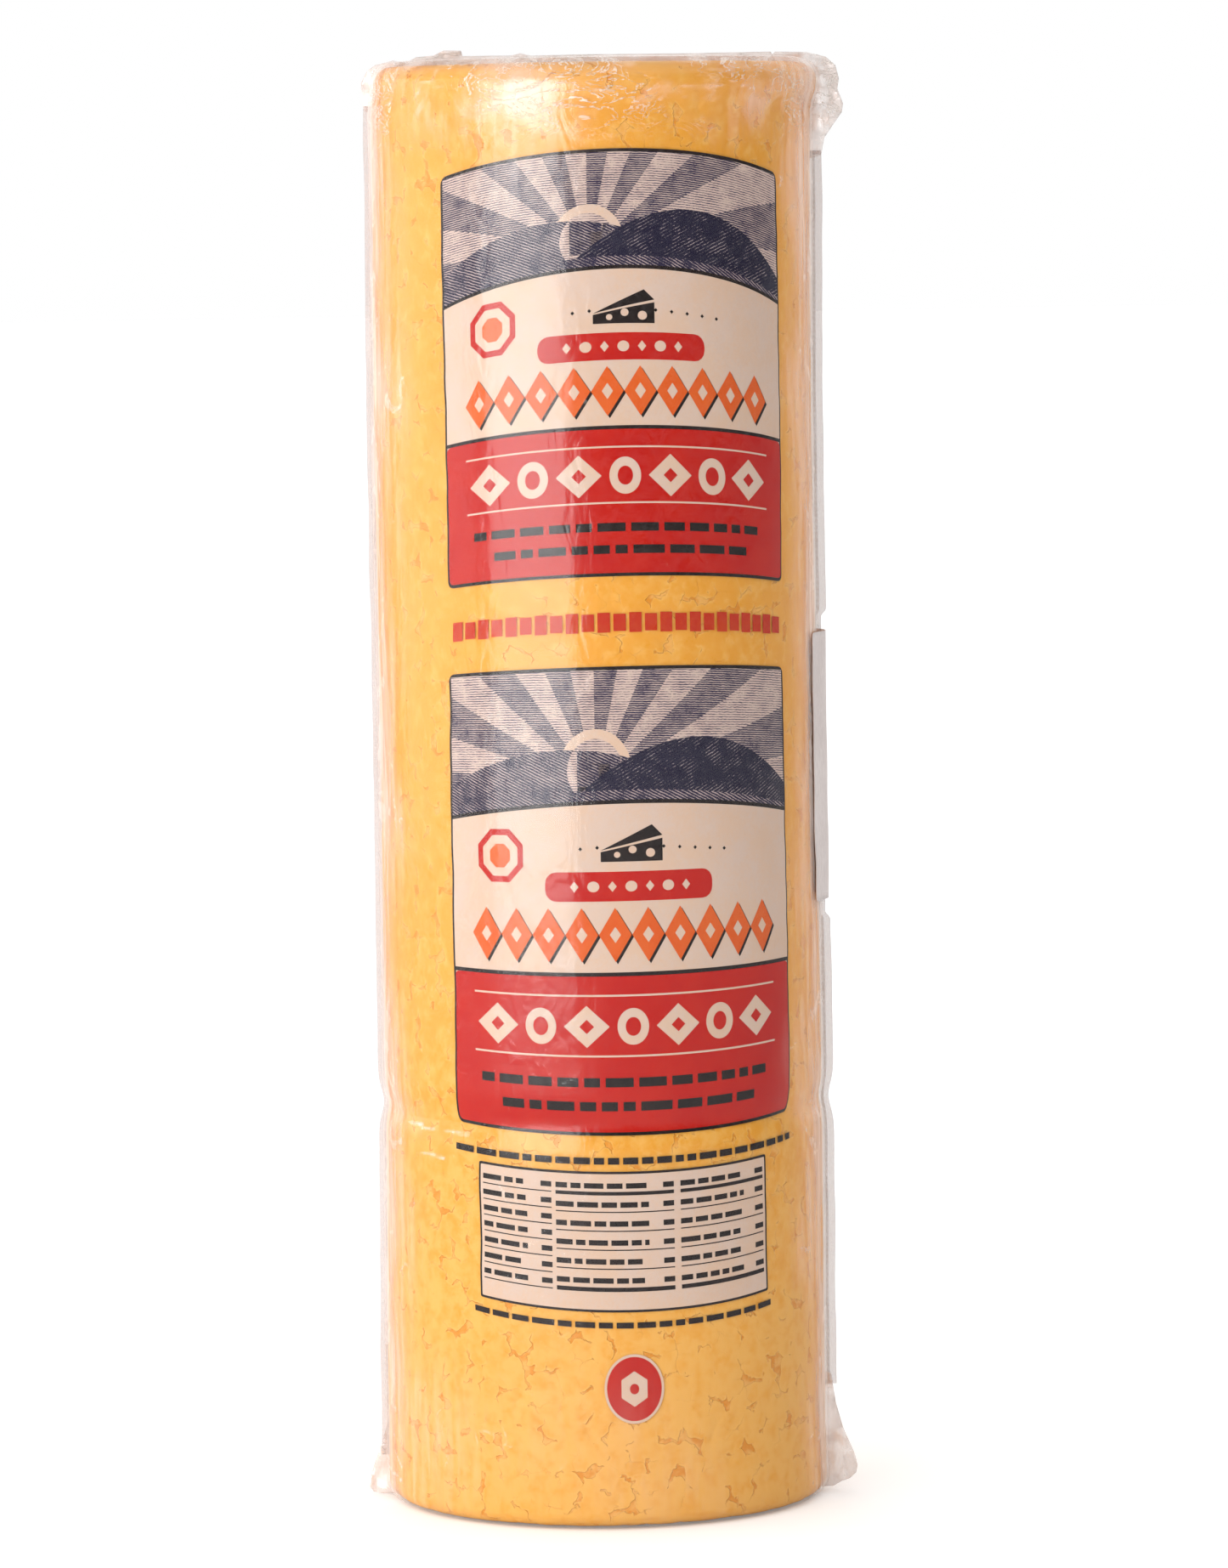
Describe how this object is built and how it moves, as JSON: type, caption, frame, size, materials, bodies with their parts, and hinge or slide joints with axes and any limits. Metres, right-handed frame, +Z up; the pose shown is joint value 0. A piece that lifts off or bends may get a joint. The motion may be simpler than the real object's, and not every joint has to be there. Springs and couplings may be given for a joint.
{
  "type": "wrapped colby cheese",
  "caption": "Tall round horn of orange colby cheese, vacuum-packed in a clear bag with sealed edges, a printed front and a plain paper sticker. Stands on its flat end.",
  "frame": {"origin": "middle of the flat base that the pack stands on", "axes": "+Z up along the horn, -Y towards the printed front, +X to the right as seen from the front, towards the side with the paper sticker"},
  "size_m": [0.1182, 0.1053, 0.3439],
  "materials": {
    "wrapped_cheese": "clear glossy film lying tight on orange cheese",
    "label_paper": "matt pale grey paper"
  },
  "bodies": {
    "root": {"wrapped_cheese": "wrapped_cheese", "side_label": "label_paper"}
  },
  "joints": []
}
